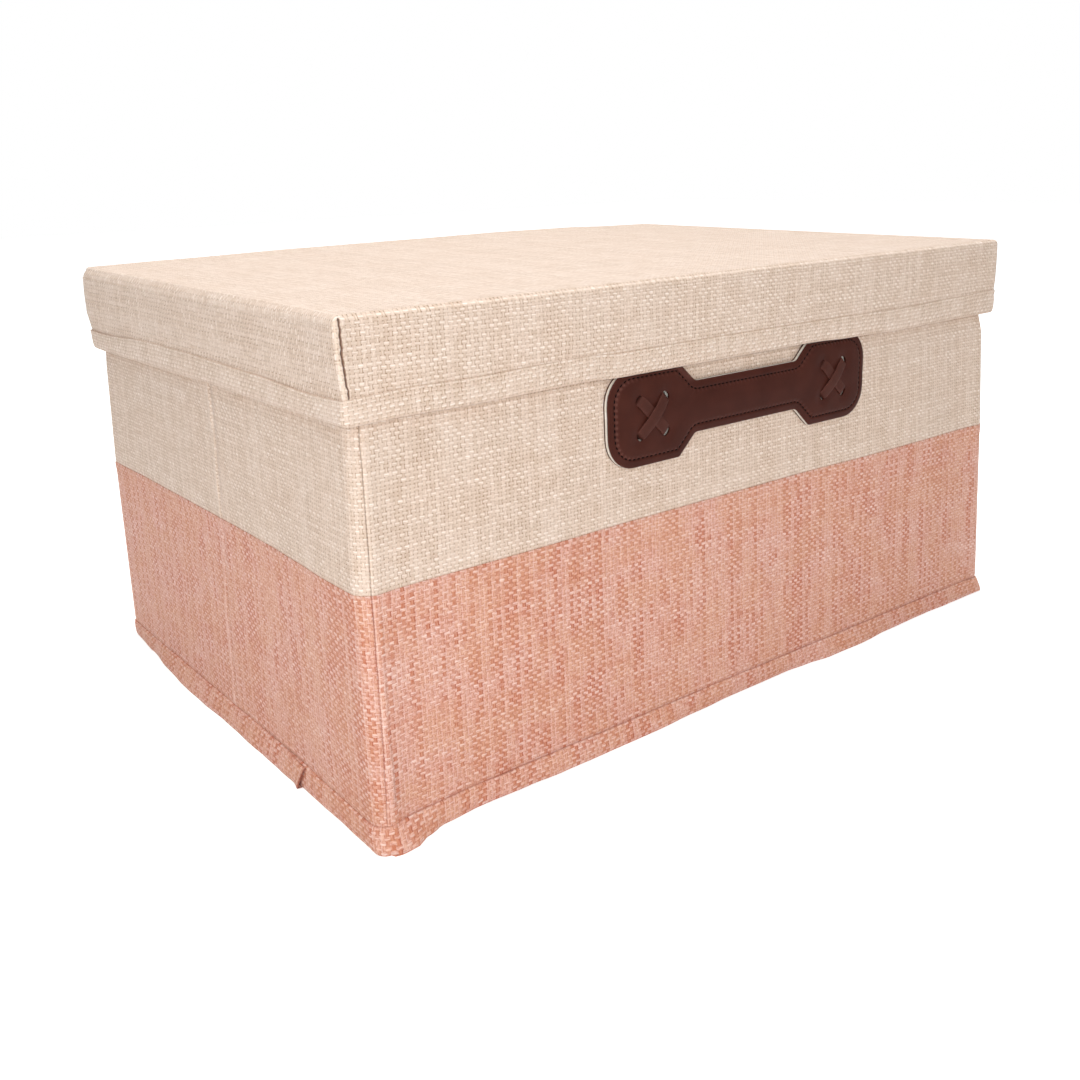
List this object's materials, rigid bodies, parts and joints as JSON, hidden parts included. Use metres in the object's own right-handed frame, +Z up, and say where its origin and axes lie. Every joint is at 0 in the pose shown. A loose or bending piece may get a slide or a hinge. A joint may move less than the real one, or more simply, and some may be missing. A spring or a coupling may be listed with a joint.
{
  "type": "fabric storage box",
  "caption": "Rectangular cloth-covered storage box in two tones with a lift-off lid, a loose base board and a laced strap handle.",
  "frame": {"origin": "on the floor under the middle of the box", "axes": "+Z up, +X to the right along the long face with the handle, which faces -Y"},
  "size_m": [0.514, 0.361, 0.2565],
  "materials": {
    "cream_cloth": "cream linen-look plain weave with slubs, matt",
    "pink_cloth": "salmon-pink linen-look plain weave with slubs, matt",
    "lining_cloth": "thin beige non-woven cloth, matt",
    "grey_board": "grey millboard, matt",
    "brown_leather": "dark red-brown smooth leather, satin",
    "lace_leather": "dark red-brown flat lace, satin",
    "pale_core": "off-white stiffener, matt cut edge"
  },
  "bodies": {
    "box": {"front_cloth_upper": "cream_cloth", "back_cloth_upper": "cream_cloth", "left_cloth_upper": "cream_cloth", "right_cloth_upper": "cream_cloth", "front_cloth_lower": "pink_cloth", "back_cloth_lower": "pink_cloth", "left_cloth_lower": "pink_cloth", "right_cloth_lower": "pink_cloth", "front_board": "grey_board", "back_board": "grey_board", "left_board_front": "grey_board", "left_board_rear": "grey_board", "right_board_front": "grey_board", "right_board_rear": "grey_board", "lining": "lining_cloth", "bottom_cloth": "pink_cloth", "bottom_binding": "pink_cloth", "handle_front_leather": "brown_leather", "handle_core": "pale_core", "handle_back_leather": "brown_leather", "lace_left_under": "lace_leather", "lace_left_over": "lace_leather", "lace_right_under": "lace_leather", "lace_right_over": "lace_leather"},
    "base_board": {"base_board": "grey_board", "base_board_cover": "lining_cloth"},
    "lid": {"lid_cloth": "cream_cloth", "lid_binding": "cream_cloth", "lid_top_board": "grey_board", "lid_rim_board_front": "grey_board", "lid_rim_board_back": "grey_board", "lid_rim_board_left": "grey_board", "lid_rim_board_right": "grey_board", "lid_lining": "lining_cloth"}
  },
  "joints": [
    {"name": "base_board_lift", "type": "slide", "parent": "box", "child": "base_board", "axis": [0, 0, 1], "range_m": [0, 0.26]},
    {"name": "lid_lift", "type": "slide", "parent": "base_board", "child": "lid", "axis": [0, 0, 1], "range_m": [0, 0.15]}
  ]
}
